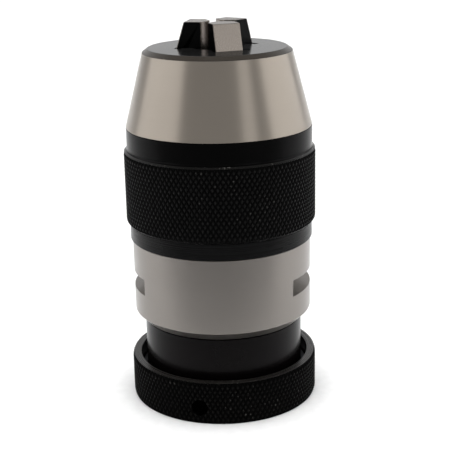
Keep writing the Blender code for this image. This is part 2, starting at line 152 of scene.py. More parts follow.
# Collar
COLLAR_RIM_RADIUS = 25.16 * MM
COLLAR_EDGE = COLLAR_RADIUS - COLLAR_RIM_RADIUS
COLLAR_BORE_RADIUS = 23.1 * MM
COLLAR_THREAD_RADIUS = 17.0 * MM
WEB_BORE_RADIUS = 15.4 * MM
WEB_BOTTOM = 4.9 * MM
WEB_TOP = 6.4 * MM
SPANNER_HOLE_RADIUS = 2.2 * MM
SPANNER_HOLE_DEPTH = 5.0 * MM
SPANNER_HOLE_HEIGHT = 4.4 * MM
SPANNER_HOLE_AZIMUTH = -15.5

# Threads: points of the outline to a turn, and how near the wall a point counts as on it
THREAD_POINTS = 10
ON_WALL = 0.01 * MM
COLLAR_PITCH = 1.5 * MM
COLLAR_THREAD_DEPTH = 0.7 * MM
SPINDLE_LEAD = 2.5 * MM
SPINDLE_THREAD_DEPTH = 1.1 * MM

# Collar rings, flanged nut, lock pin and thrust bearing
STOP_RING_BORE_RADIUS = 14.4 * MM
STOP_RING_GAP = 3.0 * MM
FLANGE_BOTTOM = 52.2 * MM
FLANGED_NUT_RADIUS = 16.0 * MM
FLANGED_NUT_BORE_RADIUS = 14.3 * MM
LOCK_PIN_RADIUS = 1.2 * MM
LOCK_PIN_LENGTH = 6.0 * MM
LOCK_PIN_CLEARANCE = 0.1 * MM
LOCK_PIN_AZIMUTH = 150.0
RACE_BORE_RADIUS = 16.3 * MM
BALL_COUNT = 16
BALL_CIRCLE_RADIUS = 18.3 * MM
BALL_HEIGHT = 49.3 * MM
BALL_RADIUS = BALL_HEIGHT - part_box("bearing_ball_01")[0].z
BALL_SEGMENTS = 32
BALL_RINGS = 20
POCKET_RADIUS = 1.55 * MM

# Drive spindle
HEAD_RADIUS, SHANK_BOTTOM, HEAD_TOP = size_of("drive_spindle")
HEAD_BOTTOM = 71.0 * MM
HEAD_EDGE = 0.5 * MM
CHAMBER_BOTTOM = 73.0 * MM
CHAMBER_TOP = 75.6 * MM
SHANK_RADIUS = 8.0 * MM
FOOT_CLEARANCE = 0.3 * MM

# Jaws: the slides' axes give their azimuths and their slope
JAW_SLIDES = [Vector(joint["axis"]) for joint in frame["joints"]
              if joint["name"].startswith("jaw_")]
JAW_AZIMUTHS = [atan2(-axis.x, axis.y) for axis in JAW_SLIDES]
JAW_SLOPE = hypot(JAW_SLIDES[0].x, JAW_SLIDES[0].y) / JAW_SLIDES[0].z
JAW_WIDTH = 7.1 * MM
JAW_BOTTOM = 78.3 * MM
JAW_BACK_AT_FACE = 10.0 * MM
LAND_RADIUS = 1.95 * MM
LAND_HALF_WIDTH = 0.7 * MM
BEVEL_ANGLE = radians(60)
WING_WIDTH = 10.9 * MM
WING_DEPTH = 1.3 * MM
WING_TOP = 90.5 * MM
FOOT_INNER_RADIUS = 5.0 * MM
FOOT_OUTER_RADIUS = 10.3 * MM
FOOT_TOP = 75.3 * MM
FOOT_WIDTH = 6.4 * MM
NECK_WIDTH = 3.4 * MM
SLOT_CLEARANCE = 0.2 * MM

# A jaw's face is a flank where its normal points this far sideways, and one of the two
# faces of its V where the normal also leans this far towards the axis
FLANK_SIDEWAYS = 0.9
V_SIDEWAYS = 0.4
V_INWARD = 0.266

# Lights: where the soft boxes and the panel for the floor stand, and where they shine
BOX_DISTANCE = 0.55
BOX_HEIGHT = 0.24
LEFT_BOX_AZIMUTH = -85
RIGHT_BOX_AZIMUTH = 98
FRONT_BOX_AZIMUTH = 38
CHUCK_MIDDLE = (0.0, 0.0, 0.08)
BACK_BOX_PLACE = (0.0, 1.8, 0.50)
BACK_BOX_AIM = (0.0, 0.0, 0.10)
FLOOR_PANEL_PLACE = (0.0, 1.43, 0.32)
FLOOR_PANEL_AIM = (0.0, 1.43, 0.0)
FLOOR_SIZE = 3.0

# Camera: its place, its turn, its focal length in millimetres and its nearest distance
CAMERA_DISTANCE = 0.2888
CAMERA_HEIGHT = 0.1336
CAMERA_TILT = radians(16.70)
CAMERA_ROLL = radians(1.28)
CAMERA_YAW = radians(0.20)
CAMERA_LENS = 88.71
CAMERA_CLIP_START = 0.01


# ---------------------------------------------------------------- meshes

def softened(points, radius=EDGE, closed=True):
    """Round the corners of an outline of (radius, height) points. Points on the axis, the ends
    of an open outline and points on a straight run stay as they are."""
    outline = []
    count = len(points)
    for number, point in enumerate(points):
        corner = Vector(point)
        if corner.x < ON_AXIS or (not closed and number in (0, count - 1)):
            outline.append(tuple(corner))
            continue
        before = Vector(points[number - 1]) - corner
        after = Vector(points[(number + 1) % count]) - corner
        straight = before.normalized().dot(after.normalized()) < -0.9999
        if straight:
            outline.append(tuple(corner))
            continue
        cut = min(radius, 0.4 * before.length, 0.4 * after.length)
        start = corner + before.normalized() * cut
        end = corner + after.normalized() * cut
        for step in range(ARC_POINTS + 1):
            t = step / ARC_POINTS
            place = (1 - t) ** 2 * start + 2 * t * (1 - t) * corner + t ** 2 * end
            outline.append(tuple(place))
    return outline


def spin_outline(shape, outline, closed=True, steps=STEPS):
    """Turn an outline of (radius, height) points once round Z."""
    verts = [shape.verts.new((radius, 0.0, height)) for radius, height in outline]
    pairs = list(zip(verts, verts[1:]))
    if closed and outline[0][0] + outline[-1][0] > ON_AXIS:
        pairs.append((verts[-1], verts[0]))
    edges = [shape.edges.new(pair) for pair in pairs]
    bmesh.ops.spin(shape, geom=verts + edges, cent=(0, 0, 0), axis=(0, 0, 1),
                   angle=2 * pi, steps=steps, use_merge=True)


def to_object(name, shape, materials):
    """Weld a bmesh, point its faces outward and make it an object."""
    bmesh.ops.remove_doubles(shape, verts=shape.verts, dist=WELD)
    bmesh.ops.recalc_face_normals(shape, faces=shape.faces)
    mesh = bpy.data.meshes.new(name)
    shape.to_mesh(mesh)
    shape.free()
    for material in materials:
        mesh.materials.append(material)
    obj = bpy.data.objects.new(name, mesh)
    bpy.context.scene.collection.objects.link(obj)
    return obj


def turned(name, points, materials, radius=EDGE, steps=STEPS):
    """A turned piece from its closed outline, with rounded corners."""
    shape = bmesh.new()
    spin_outline(shape, softened(points, radius), steps=steps)
    return to_object(name, shape, materials)


def azimuth_turn(angle):
    """Turn what is built at azimuth 0 to another azimuth."""
    return Matrix.Rotation(angle, 4, "Z")


def prism(name, low, high, place):
    """A closed solid between two polygons with the same number of corners."""
    shape = bmesh.new()
    bottom = [shape.verts.new(corner) for corner in low]
    top = [shape.verts.new(corner) for corner in high]
    shape.faces.new(bottom)
    shape.faces.new(top)
    count = len(bottom)
    for number in range(count):
        after = (number + 1) % count
        shape.faces.new((bottom[number], bottom[after], top[after], top[number]))
    obj = to_object(name, shape, [])
    obj.matrix_world = place
    return obj


def plate(name, outline, width, place):
    """A flat outline of (outward, up) points, extruded to both sides of azimuth 0."""
    left = [(-width / 2, -outward, up) for outward, up in outline]
    right = [(width / 2, -outward, up) for outward, up in outline]
    return prism(name, left, right, place)


def rod(name, radius, length, place):
    """A plain cylinder about its own middle."""
    shape = bmesh.new()
    bmesh.ops.create_cone(shape, cap_ends=True, segments=ROD_STEPS, radius1=radius,
                          radius2=radius, depth=length)
    obj = to_object(name, shape, [])
    obj.matrix_world = place
    return obj


def apply_modifiers(obj):
    """Keep what the modifiers make, as the object's own mesh."""
    bpy.context.view_layer.update()
    evaluated = obj.evaluated_get(bpy.context.evaluated_depsgraph_get())
    mesh = bpy.data.meshes.new_from_object(evaluated)
    obj.modifiers.clear()
    obj.data = mesh
    mesh.name = obj.name


def combine(obj, tools, operation="DIFFERENCE"):
    """Cut the tools from an object, or join them to it, and remove them."""
    for tool in tools:
        boolean = obj.modifiers.new("Cut", "BOOLEAN")
        boolean.operation = operation
        boolean.solver = "EXACT"
        boolean.object = tool
    apply_modifiers(obj)
    for tool in tools:
        bpy.data.objects.remove(tool, do_unlink=True)


def finish_surface(obj, bevel=0.0):
    """Small rounds on the cut edges, and shading that keeps flat faces flat."""
    if bevel:
        edges = obj.modifiers.new("Edges", "BEVEL")
        edges.width = bevel
        edges.segments = BEVEL_SEGMENTS
        edges.limit_method = "ANGLE"
        edges.angle_limit = EDGE_ANGLE
        edges.use_clamp_overlap = True
        apply_modifiers(obj)
    obj.data.shade_smooth()
    obj.data.set_sharp_from_angle(angle=SHARP_ANGLE)
    weighted = obj.modifiers.new("Shading", "WEIGHTED_NORMAL")
    weighted.keep_sharp = True
    apply_modifiers(obj)
    return obj


def stand_for(obj, node):
    """Ride on the body of one CAD node, and take its place."""
    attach(obj, BODY_OF[node])
    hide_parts(node)


# ---------------------------------------------------------------- threads

def thread_run(radius, start, end, pitch):
    """Outline points along a threaded wall, close enough together for the flanks."""
    count = round(abs(end - start) * THREAD_POINTS / pitch)
    return [(radius, start + (end - start) * number / count) for number in range(count + 1)]


def cut_thread(obj, radius, low, high, depth, pitch, hand):
    """Sink a thread into the wall at one radius, fading out at both ends. The hand is 1 for a
    right-hand thread and -1 for a left-hand one. In a bore the depth is negative."""
    for vert in obj.data.vertices:
        x, y, z = vert.co
        reach = hypot(x, y)
        if abs(reach - radius) > ON_WALL or not low <= z <= high:
            continue
        phase = (z / pitch - hand * atan2(y, x) / (2 * pi)) % 1.0
        flank = min(max(2.0 * abs(2.0 * phase - 1.0) - 0.5, 0.0), 1.0)
        fade = min(1.0, (z - low) / pitch, (high - z) / pitch)
        scale = (radius - depth * flank * fade) / reach
        vert.co = (x * scale, y * scale, z)


# ---------------------------------------------------------------- knurl

def knurl_point(radius, column, height):
    """Place in the knurl's grid, which has two columns to a tooth."""
    angle = column * pi / KNURL_TEETH
    return (radius * cos(angle), radius * sin(angle), height)


def knurl_tooth(shape, radius, column, height, row, up, down):
    """One diamond: a pyramid with a slightly crowned top. At an end of the band the half
    beyond it is left out, and the tooth runs down into the chamfer there."""
    root = radius - KNURL_DEPTH
    shoulder = radius - TOOTH_CROWN
    sides = [(1, 0), (0, 1), (-1, 0), (0, -1)]
    whole = up and down
    middle = shape.verts.new(knurl_point(radius if whole else root, column, height))
    corners = []
    tops = []
    for across, along in sides:
        if (along > 0 and not up) or (along < 0 and not down):
            corners.append(None)
            tops.append(None)
            continue
        corners.append(shape.verts.new(knurl_point(root, column + across, height + along * row)))
        if along or whole:
            place = knurl_point(shoulder, column + TOOTH_TOP * across,
                                height + TOOTH_TOP * along * row)
            tops.append(shape.verts.new(place))
        else:
            tops.append(middle)
    for number in range(len(sides)):
        after = (number + 1) % len(sides)
        if corners[number] is None or corners[after] is None:
            continue
        shape.faces.new((corners[number], corners[after], tops[after], tops[number]))
        if tops[number] is not middle and tops[after] is not middle:
            shape.faces.new((tops[number], tops[after], middle))


def knurl_band(shape, radius, low, high):
    """Rows of diamonds, each row shifted by half a tooth from the one below."""
    rows = round((high - low) / KNURL_ROW)
    row = (high - low) / rows
    for number in range(rows + 1):
        for column in range(number % 2, STEPS, 2):
            knurl_tooth(shape, radius, column, low + number * row, row,
                        up=number < rows, down=number > 0)


def knurled(name, radius, low, high, points, materials):
    """A turned piece: its outline runs from the knurled band's upper end to its lower one."""
    root = radius - KNURL_DEPTH
    outline = softened([(root, high)] + points + [(root, low)], closed=False)
    shape = bmesh.new()
    spin_outline(shape, outline, closed=False)
    knurl_band(shape, radius, low, high)
    return to_object(name, shape, materials)


# ---------------------------------------------------------------- materials

class Nodes:
    """A node material under construction."""

    def __init__(self, name):
        self.material = bpy.data.materials.new(name)
        self.material.use_nodes = True
        self.tree = self.material.node_tree
        self.shader = self.tree.nodes["Principled BSDF"]

    def add(self, kind, **settings):
        """A new node of one kind, with its own settings."""
        node = self.tree.nodes.new("ShaderNode" + kind)
        for name, value in settings.items():
            setattr(node, name, value)
        return node

    def link(self, output, socket):
        self.tree.links.new(output, socket)

    def set(self, **values):
        """Uniform values of the shader, with _ for a space in a socket's name."""
        for name, value in values.items():
            self.shader.inputs[name.replace("_", " ")].default_value = value

    def math(self, operation, first, second=None):
        """One operation on values, each a number or another node's output."""
        node = self.add("Math", operation=operation)
        for socket, value in zip(node.inputs, (first, second)):
            if isinstance(value, bpy.types.NodeSocket):
                self.link(value, socket)
            elif value is not None:
                socket.default_value = value
        return node.outputs[0]

    def position(self):
        return self.add("TexCoord").outputs["Object"]

    def radius(self):
        """Distance from the chuck's axis."""
        flat = self.add("VectorMath", operation="MULTIPLY")
        self.link(self.position(), flat.inputs[0])
        flat.inputs[1].default_value = (1, 1, 0)
        length = self.add("VectorMath", operation="LENGTH")
        self.link(flat.outputs[0], length.inputs[0])
        return length.outputs["Value"]

    def noise(self, scale, detail, vector=None, roughness=0.5):
        texture = self.add("TexNoise")
        texture.inputs["Scale"].default_value = scale
        texture.inputs["Detail"].default_value = detail
        texture.inputs["Roughness"].default_value = roughness
        self.link(vector or self.position(), texture.inputs["Vector"])
        return texture.outputs["Fac"]

    def spots(self, scale, detail, start, end):
        """Separate spots: noise kept only where it rises past start, full from end on."""
        return self.ranged(self.noise(scale, detail), 0.0, 1.0, start, end)

    def turning_lines(self, pitch):
        """Fine lines round the axis, on walls, cones and faces alike."""
        split = self.add("SeparateXYZ")
        self.link(self.position(), split.inputs[0])
        along = self.math("ADD", split.outputs["Z"], self.radius())
        spread = self.add("CombineXYZ")
        for name in ("X", "Y"):
            self.link(self.math("MULTIPLY", split.outputs[name], 25.0), spread.inputs[name])
        self.link(self.math("MULTIPLY", along, 1.0 / pitch), spread.inputs["Z"])
        return self.noise(scale=1.0, detail=3.0, vector=spread.outputs[0], roughness=0.65)

    def grinding_lines(self, pitch):
        """Fine straight lines along Z, as a surface grinder leaves."""
        stretch = (1.0, 1.0, 0.02)
        mapping = self.add("Mapping")
        self.link(self.position(), mapping.inputs["Vector"])
        mapping.inputs["Scale"].default_value = [value / pitch for value in stretch]
        return self.noise(scale=1.0, detail=3.0, vector=mapping.outputs[0], roughness=0.6)

    def ranged(self, factor, low, high, start=0.3, end=0.7):
        """Stretch a factor from start..end, where noise mostly lies, to low..high."""
        node = self.add("MapRange")
        self.link(factor, node.inputs["Value"])
        limits = {"From Min": start, "From Max": end, "To Min": low, "To Max": high}
        for name, value in limits.items():
            node.inputs[name].default_value = value
        return node.outputs[0]

    def mixed(self, factor, first, second):
        """Two colours mixed, each a plain colour or another node's output. A Mix node's
        colour sockets have the same names as its others, so they go by number."""
        node = self.add("Mix", data_type="RGBA")
        self.link(factor, node.inputs[0])
        for socket, colour in ((node.inputs[6], first), (node.inputs[7], second)):
            if isinstance(colour, bpy.types.NodeSocket):
                self.link(colour, socket)
            else:
                socket.default_value = (*colour, 1.0)
        return node.outputs[2]

    def colour(self, output):
        self.link(output, self.shader.inputs["Base Color"])

    def roughness(self, output):
        self.link(output, self.shader.inputs["Roughness"])

    def bump(self, height, depth, strength):
        node = self.add("Bump")
        node.inputs["Strength"].default_value = strength
        node.inputs["Distance"].default_value = depth
        self.link(height, node.inputs["Height"])
        self.link(node.outputs[0], self.shader.inputs["Normal"])

    def along_axis(self):
        """Direct the highlights by the turning lines, which run round the axis."""
        tangent = self.add("Tangent", direction_type="RADIAL", axis="Z")
        self.link(tangent.outputs[0], self.shader.inputs["Tangent"])


def turned_steel(name, light, dark, roughness, anisotropy=0.0):
    """Steel with the fine lines of cylindrical grinding and a faint cloudiness."""
    steel = Nodes(name)
    lines = steel.turning_lines(0.10 * MM)
    clouds = steel.noise(scale=55.0, detail=4.0)
    tint = steel.mixed(steel.ranged(clouds, 0.0, 1.0), dark, light)
    steel.colour(steel.mixed(steel.ranged(lines, 0.0, 0.5), tint, dark))
    steel.roughness(steel.ranged(lines, roughness - 0.02, roughness + 0.02))
    steel.bump(lines, depth=0.0002 * MM, strength=0.25)
    steel.set(Metallic=1.0)
    if anisotropy:
        steel.along_axis()
        steel.set(Anisotropic=anisotropy, Anisotropic_Rotation=0.25)
    return steel.material


def ground_steel(name, light, dark, roughness):
    """Flat-ground steel, with straight lines along the piece."""
    steel = Nodes(name)
    lines = steel.grinding_lines(0.12 * MM)
    clouds = steel.noise(scale=80.0, detail=3.0)
    tint = steel.mixed(steel.ranged(clouds, 0.0, 1.0), dark, light)
    steel.colour(steel.mixed(steel.ranged(lines, 0.0, 0.25), tint, dark))
    steel.roughness(steel.ranged(lines, roughness - 0.03, roughness + 0.04))
    steel.bump(lines, depth=0.0004 * MM, strength=0.25)
    steel.set(Metallic=1.0)
    return steel.material


def black_oxide(name, light, dark, roughness, level):
    """Oil-black oxide on turned steel: dark, with a soft sheen and faint turning lines."""
    oxide = Nodes(name)
    lines = oxide.turning_lines(0.22 * MM)
    clouds = oxide.noise(scale=90.0, detail=5.0)
    oxide.colour(oxide.mixed(oxide.ranged(clouds, 0.0, 1.0), dark, light))
    grain = oxide.ranged(lines, roughness - 0.03, roughness + 0.03)
    oxide.roughness(oxide.math("ADD", grain, oxide.math("MULTIPLY", clouds, 0.06)))
    oxide.bump(lines, depth=0.0006 * MM, strength=0.25)
    oxide.set(Metallic=0.0, Specular_IOR_Level=level)
    return oxide.material


def painted_light_rim(name, light, dark, level):
    """Black oxide on a rim, lighter than the other blacks as painted light for the light that
    the rim catches: smoother, and rubbed thin in places.
    """
    oxide = Nodes(name)
    clouds = oxide.noise(scale=160.0, detail=5.0)
    tint = oxide.mixed(oxide.ranged(clouds, 0.0, 1.0), dark, light)
    chips = oxide.spots(scale=1300.0, detail=3.0, start=0.60, end=0.66)
    patches = oxide.spots(scale=140.0, detail=2.0, start=0.50, end=0.60)
    oxide.colour(oxide.mixed(oxide.math("MULTIPLY", chips, patches), tint, CHIPPED))
    oxide.roughness(oxide.ranged(oxide.turning_lines(0.2 * MM), 0.24, 0.32))
    oxide.set(Metallic=0.0, Specular_IOR_Level=level)
    return oxide.material


def knurled_oxide(name, radius, light, dark, worn, level):
    """Black oxide on a knurl: handled tooth tops are lighter, the roots hold dark oil."""
    oxide = Nodes(name)
    clouds = oxide.noise(scale=120.0, detail=5.0)
    tint = oxide.mixed(oxide.ranged(clouds, 0.0, 1.0), dark, light)
    height = oxide.ranged(oxide.radius(), 0.0, 1.0, radius - 0.16 * MM, radius - 0.01 * MM)
    handling = oxide.ranged(oxide.noise(scale=700.0, detail=4.0), 0.3, 1.0)
    handled = oxide.mixed(oxide.math("MULTIPLY", height, handling), tint, worn)
    # Painted glints: light specks on the tooth tops, partly bare-metal nicks, that stand in for
    # small highlights on the tips
    nick_glints = oxide.spots(scale=1500.0, detail=2.0, start=0.61, end=0.67)
    patches = oxide.spots(scale=110.0, detail=2.0, start=0.50, end=0.62)
    bare = oxide.math("MULTIPLY", oxide.math("MULTIPLY", nick_glints, patches), height)
    oxide.colour(oxide.mixed(bare, handled, NICK_GLINT))
    oxide.roughness(oxide.ranged(height, 0.75, 0.24, 0.0, 1.0))
    oxide.bump(oxide.noise(scale=9000.0, detail=3.0), depth=0.003 * MM, strength=0.4)
    oxide.set(Metallic=0.0, Specular_IOR_Level=level)
    return oxide.material


# The colour where oxide is rubbed thin on a rim, and of the light specks on the teeth of a
# knurl, partly bare nicks and partly painted glints
CHIPPED = (0.07, 0.067, 0.062)
NICK_GLINT = (0.10, 0.096, 0.090)

BRIGHT_STEEL = turned_steel("bright_steel", (0.315, 0.280, 0.241), (0.300, 0.266, 0.229),
                            roughness=0.30, anisotropy=0.6)
BODY_STEEL = turned_steel("body_steel", (0.252, 0.233, 0.216), (0.240, 0.222, 0.206),
                          roughness=0.30, anisotropy=0.6)
BORE_STEEL = turned_steel("bore_steel", (0.42, 0.40, 0.38), (0.34, 0.32, 0.30), roughness=0.38)
HARD_STEEL = turned_steel("hard_steel", (0.66, 0.66, 0.65), (0.58, 0.58, 0.57), roughness=0.18)
SPRING_STEEL = turned_steel("spring_steel", (0.17, 0.17, 0.19), (0.11, 0.11, 0.12),
                            roughness=0.36)
BRASS = turned_steel("brass", (0.76, 0.57, 0.27), (0.66, 0.48, 0.21), roughness=0.28)
JAW_STEEL = ground_steel("jaw_steel", (0.303, 0.268, 0.237), (0.274, 0.242, 0.214),
                         roughness=0.25)
JAW_V = ground_steel("jaw_v", (0.25, 0.22, 0.20), (0.20, 0.175, 0.16), roughness=0.22)
JAW_BLACK = black_oxide("jaw_black", (0.0020, 0.0020, 0.0020), (0.0010, 0.0010, 0.0010),
                        roughness=0.16, level=0.06)
BLACK_STEEL = black_oxide("black_steel", (0.0009, 0.0008, 0.0009), (0.0005, 0.0005, 0.0005),
                          roughness=0.20, level=0.055)
NECK_BLACK = black_oxide("neck_black", (0.0030, 0.0022, 0.0023), (0.0020, 0.0014, 0.0015),
                         roughness=0.20, level=0.08)
RING_BLACK = black_oxide("ring_black", (0.0050, 0.0050, 0.0052), (0.0034, 0.0034, 0.0035),
                         roughness=0.24, level=0.09)
FACE_BLACK = black_oxide("face_black", (0.012, 0.012, 0.012), (0.008, 0.008, 0.008),
                         roughness=0.14, level=0.35)
FACE_RIM = black_oxide("face_rim", (0.036, 0.030, 0.024), (0.030, 0.025, 0.020),
                       roughness=0.20, level=0.45)
# Painted light: the top rim of the collar and the upper chamfer of the sleeve take a lighter
# black that stands in for the light they catch
RIM_PAINTED_LIGHT = painted_light_rim("painted_light_rim", (0.018, 0.0165, 0.015), (0.012, 0.011, 0.010), level=0.45)
SHOULDER_PAINTED_LIGHT = painted_light_rim("painted_light_shoulder", (0.006, 0.0057, 0.0053),
                            (0.004, 0.0038, 0.0035), level=0.22)
SLEEVE_KNURL = knurled_oxide("sleeve_knurl", KNURL_RADIUS, (0.0016, 0.0016, 0.0016),
                             (0.0006, 0.0006, 0.0006), worn=(0.011, 0.0107, 0.0102), level=0.09)
COLLAR_KNURL = knurled_oxide("collar_knurl", COLLAR_RADIUS, (0.0012, 0.0011, 0.0010),
                             (0.0004, 0.0004, 0.0004), worn=(0.0055, 0.0050, 0.0044),
                             level=0.045)


def paint_faces(obj, chosen, slot):
    """Give the faces whose middle passes a test the material in one slot."""
    for face in obj.data.polygons:
        middle = face.center
        if chosen(hypot(middle.x, middle.y), middle.z):
            face.material_index = slot


# ---------------------------------------------------------------- body

def make_chuck_body():
    points = [
        (0.0, SPINDLE_BORE_BOTTOM),
        (SPINDLE_BORE_RADIUS, SPINDLE_BORE_BOTTOM),
        (SPINDLE_BORE_RADIUS, BARREL_TOP),
        (BARREL_RADIUS, BARREL_TOP),
        (BARREL_RADIUS, BODY_TOP),
        (BODY_RADIUS, BODY_TOP),
        (BODY_RADIUS, BODY_BOTTOM + BODY_CHAMFER),
        (BODY_RADIUS - BODY_CHAMFER, BODY_BOTTOM),
        (BOSS_RADIUS, BODY_BOTTOM),
        (BOSS_RADIUS, STOP_GROOVE_TOP),
        (STOP_GROOVE_RADIUS, STOP_GROOVE_TOP),
        (STOP_GROOVE_RADIUS, STOP_GROOVE_BOTTOM),
        (BOSS_RADIUS - BOSS_CHAMFER / 2, STOP_GROOVE_BOTTOM),
        (BOSS_RADIUS - BOSS_CHAMFER, BODY_FOOT),
        (SOCKET_MOUTH_RADIUS, BODY_FOOT),
        (SOCKET_END_RADIUS, SOCKET_LENGTH),
        (SOCKET_RELIEF_RADIUS, SOCKET_DEPTH),
        (0.0, SOCKET_DEPTH),
    ]
    body = turned("body_shell", points, [BODY_STEEL, BORE_STEEL])
    combine(body, [wrench_slot(side) for side in (0, 1)] + [lock_pin_hole()])
    finish_surface(body, FINE_EDGE)
    paint_faces(body, lambda radius, height: radius < BOSS_RADIUS - 0.2 * MM, 1)
    stand_for(body, "chuck_body")


def wrench_slot(side):
    """Cutter for one of the two opposite flats for an open-end wrench."""
    outer = BODY_RADIUS + CUT_MARGIN
    outline = [(FLAT_DISTANCE, FLAT_BOTTOM), (outer, FLAT_BOTTOM), (outer, FLAT_TOP),
               (FLAT_DISTANCE, FLAT_TOP)]
    return plate("wrench_slot", outline, 3 * BODY_RADIUS,
                 azimuth_turn(radians(FLAT_AZIMUTH + 180.0 * side)))


def make_rear_sleeve():
    inner = BOSS_RADIUS + GAP
    points = [(inner, REAR_SLEEVE_TOP), (REAR_SLEEVE_RADIUS, REAR_SLEEVE_TOP),
              (REAR_SLEEVE_RADIUS, REAR_SLEEVE_BOTTOM), (inner, REAR_SLEEVE_BOTTOM)]
    sleeve = finish_surface(turned("neck_sleeve", points, [NECK_BLACK]))
    stand_for(sleeve, "rear_sleeve")


# ---------------------------------------------------------------- collar

def make_collar():
    """The captive collar: a knurled rim, a web that a ring holds, and a threaded mouth."""
    thread_end = COLLAR_BOTTOM + COLLAR_EDGE
    points = [
        (COLLAR_RIM_RADIUS, COLLAR_TOP),
        (COLLAR_BORE_RADIUS, COLLAR_TOP),
        (COLLAR_BORE_RADIUS, WEB_TOP),
        (WEB_BORE_RADIUS, WEB_TOP),
        (WEB_BORE_RADIUS, WEB_BOTTOM),
        (COLLAR_THREAD_RADIUS, WEB_BOTTOM),
        *thread_run(COLLAR_THREAD_RADIUS, WEB_BOTTOM - EDGE, thread_end, COLLAR_PITCH),
        (COLLAR_THREAD_RADIUS + COLLAR_EDGE, COLLAR_BOTTOM),
        (COLLAR_RIM_RADIUS, COLLAR_BOTTOM),
    ]
    low = COLLAR_BOTTOM + FINE_EDGE
    high = COLLAR_TOP - FINE_EDGE
    collar = knurled("knurled_collar", COLLAR_RADIUS, low, high, points,
                     [BLACK_STEEL, COLLAR_KNURL, RIM_PAINTED_LIGHT])
    cut_thread(collar, COLLAR_THREAD_RADIUS, thread_end, WEB_BOTTOM,
               depth=-COLLAR_THREAD_DEPTH, pitch=COLLAR_PITCH, hand=1)
    combine(collar, [spanner_hole(side) for side in (0, 1)])
    finish_surface(collar)
    paint_faces(collar, lambda radius, height: radius > COLLAR_RIM_RADIUS - 0.2 * MM
                and low < height < high, 1)
    # Painted light: the top rim of the collar takes the lighter black
    paint_faces(collar, lambda radius, height: radius > COLLAR_BORE_RADIUS
                and height > COLLAR_TOP - FINE_EDGE - 0.02 * MM, 2)
    stand_for(collar, "locking_collar")


def spanner_hole(side):
    """Cutter for one of the two opposite holes for a pin spanner."""
    place = azimuth_turn(radians(SPANNER_HOLE_AZIMUTH + 180.0 * side))
    place = place @ Matrix.Translation((0.0, -COLLAR_RADIUS, SPANNER_HOLE_HEIGHT))
    place = place @ Matrix.Rotation(pi / 2, 4, "X")
    return rod("spanner_hole", SPANNER_HOLE_RADIUS, 2 * SPANNER_HOLE_DEPTH, place)


# ---------------------------------------------------------------- sleeve

def make_ring_nut():
    """The smooth ring under the knurl: a spigot in the sleeve, and a cup for the bearing."""
    points = [
        (SPIGOT_RADIUS, RING_NUT_SPIGOT_TOP),
        (SPIGOT_RADIUS, RING_NUT_TOP),
        (RING_NUT_RADIUS, RING_NUT_TOP),
        (RING_NUT_RADIUS, RING_NUT_BOTTOM),
        (RING_NUT_BORE_RADIUS, RING_NUT_BOTTOM),
        (RING_NUT_BORE_RADIUS, RING_NUT_SEAT),
        (RING_NUT_CUP_RADIUS, RING_NUT_SEAT),
        (RING_NUT_CUP_RADIUS, RING_NUT_SPIGOT_TOP),
    ]
    nut = finish_surface(turned("ring_nut", points, [RING_BLACK]))
    stand_for(nut, "sleeve_ring_nut")


def make_knurled_sleeve():
    """The grip: the knurl runs down into the lower shoulder and ends at a chamfer above."""
    slope = (KNURL_RADIUS - SMOOTH_RADIUS) / SHOULDER_HEIGHT
    low = KNURL_BOTTOM - KNURL_DEPTH / slope
    high = KNURL_TOP - EDGE
    rim_top = KNURL_TOP + RIM_STEP
    points = [
        (KNURL_RADIUS - TOOTH_CROWN, high),
        (SMOOTH_RADIUS + RIM_STEP, rim_top),
        (SMOOTH_RADIUS + FILLET_STEP, KNURL_TOP + 0.6 * SHOULDER_HEIGHT),
        (SMOOTH_RADIUS, KNURL_TOP + SHOULDER_HEIGHT),
        (SMOOTH_RADIUS, SLEEVE_TOP),
        (SLEEVE_BORE_RADIUS, SLEEVE_TOP),
        (SLEEVE_BORE_RADIUS, SLEEVE_BOTTOM),
        (SMOOTH_RADIUS, SLEEVE_BOTTOM),
    ]
    sleeve = knurled("grip_sleeve", KNURL_RADIUS, low, high, points,
                     [BLACK_STEEL, SLEEVE_KNURL, SHOULDER_PAINTED_LIGHT])
    finish_surface(sleeve)
    paint_faces(sleeve, lambda radius, height: radius > SMOOTH_RADIUS and low < height < high, 1)
    # Painted light: the upper chamfer and the ends of the teeth there take the lighter black
    paint_faces(sleeve, lambda radius, height: radius > SMOOTH_RADIUS
                and high <= height < rim_top, 2)
    stand_for(sleeve, "knurled_sleeve")


